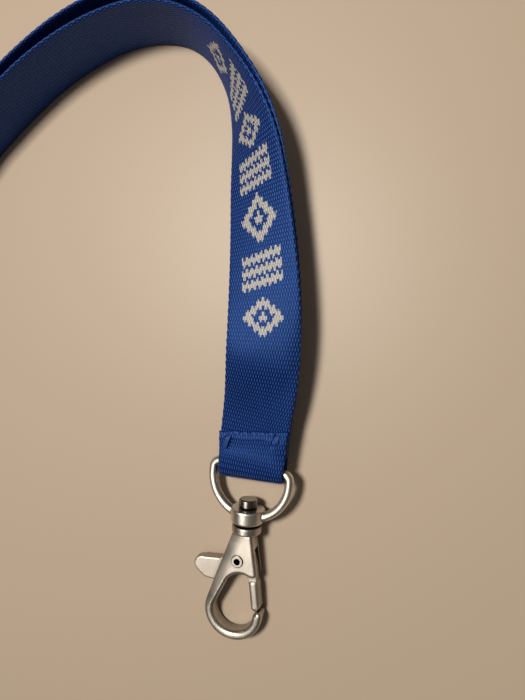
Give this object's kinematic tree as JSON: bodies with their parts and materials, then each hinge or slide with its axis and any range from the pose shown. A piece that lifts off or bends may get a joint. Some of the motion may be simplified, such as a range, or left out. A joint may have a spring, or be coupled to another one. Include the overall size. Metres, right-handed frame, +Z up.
{
  "type": "neck lanyard with swivel snap hook",
  "caption": "Woven neck lanyard lying on its edge, doubled and sewn round a D-shaped bow that carries a swivelling trigger snap hook.",
  "frame": {"origin": "bottom centre of the whole object's box, on the surface that it lies on", "axes": "+Z up off the surface; the doubled webbing leaves the bow towards +Y; the neck loop lies towards -X"},
  "size_m": [0.2358, 0.192, 0.0201],
  "materials": {
    "webbing": "woven polyester, satin sheen",
    "thread": "spun polyester thread",
    "bow_metal": "satin nickel plate",
    "pin_metal": "satin nickel plate",
    "hook_metal": "satin nickel plate",
    "trigger_metal": "satin nickel plate",
    "rivet_metal": "nickel plate",
    "spring_steel": "bright spring wire"
  },
  "bodies": {
    "strap": {"strap_ring_fold": "webbing", "strap_back_leg": "webbing", "strap_neck_loop": "webbing", "strap_front_leg": "webbing", "seam_stitching": "thread"},
    "bow": {"swivel_bow": "bow_metal"},
    "hook": {"hook_body": "hook_metal", "swivel_pin": "pin_metal", "pivot_rivet": "rivet_metal", "trigger_spring": "spring_steel"},
    "trigger": {"trigger": "trigger_metal"}
  },
  "joints": [
    {"name": "bow_hinge", "type": "hinge", "parent": "strap", "child": "bow", "pos_m": [0.10245, -0.03506, 0.00567], "axis": [0.9881, -0.129, 0.0839], "range_deg": [-120, 120]},
    {"name": "hook_swivel", "type": "hinge", "parent": "bow", "child": "hook", "pos_m": [0.10104, -0.04846, 0.00473], "axis": [0.08, 0.9945, 0.0671], "continuous": true},
    {"name": "trigger_hinge", "type": "hinge", "parent": "hook", "child": "trigger", "pos_m": [0.0986, -0.06127, 0.00386], "axis": [0.0054, 0.0669, -0.9977], "range_deg": [0, 28], "stiffness_Nm_per_rad": 0.06, "springref_deg": -22.92, "deforming": ["trigger_spring"]}
  ]
}
